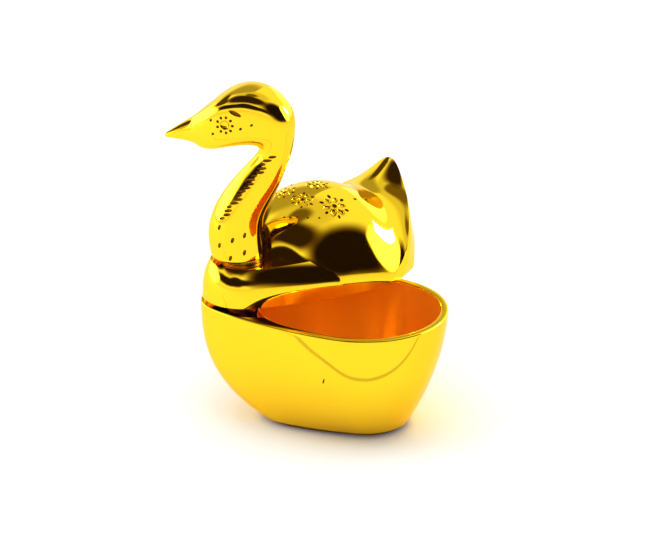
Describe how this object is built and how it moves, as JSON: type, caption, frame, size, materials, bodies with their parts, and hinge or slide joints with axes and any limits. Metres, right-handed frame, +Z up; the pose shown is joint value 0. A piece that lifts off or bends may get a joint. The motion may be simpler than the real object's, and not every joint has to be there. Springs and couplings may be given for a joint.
{
  "type": "kumkum box",
  "caption": "Small polished brass swan box for kumkum powder: the hollow bowl is the belly, and the back and tail form a lid that swivels sideways under the neck.",
  "frame": {"origin": "centre of the flat foot under the bowl, on the surface that the box stands on", "axes": "+Z up, +X along the bowl from the breast towards the stern, +Y to the side that the lid is swung out to in the rest pose"},
  "size_m": [0.0556, 0.0526, 0.0688],
  "materials": {
    "polished_brass": "mirror polished and lacquered",
    "plain_brass": "turned"
  },
  "bodies": {
    "base": {"bowl": "polished_brass", "neck_and_head": "polished_brass", "pivot_pin": "plain_brass", "lower_washer": "plain_brass", "upper_washer": "plain_brass"},
    "lid": {"lid": "polished_brass"}
  },
  "joints": [
    {"name": "lid_swivel", "type": "hinge", "parent": "base", "child": "lid", "pos_m": [-0.0188, 0, 0.0286], "axis": [0, 0, 1], "range_deg": [-118, 8]}
  ]
}
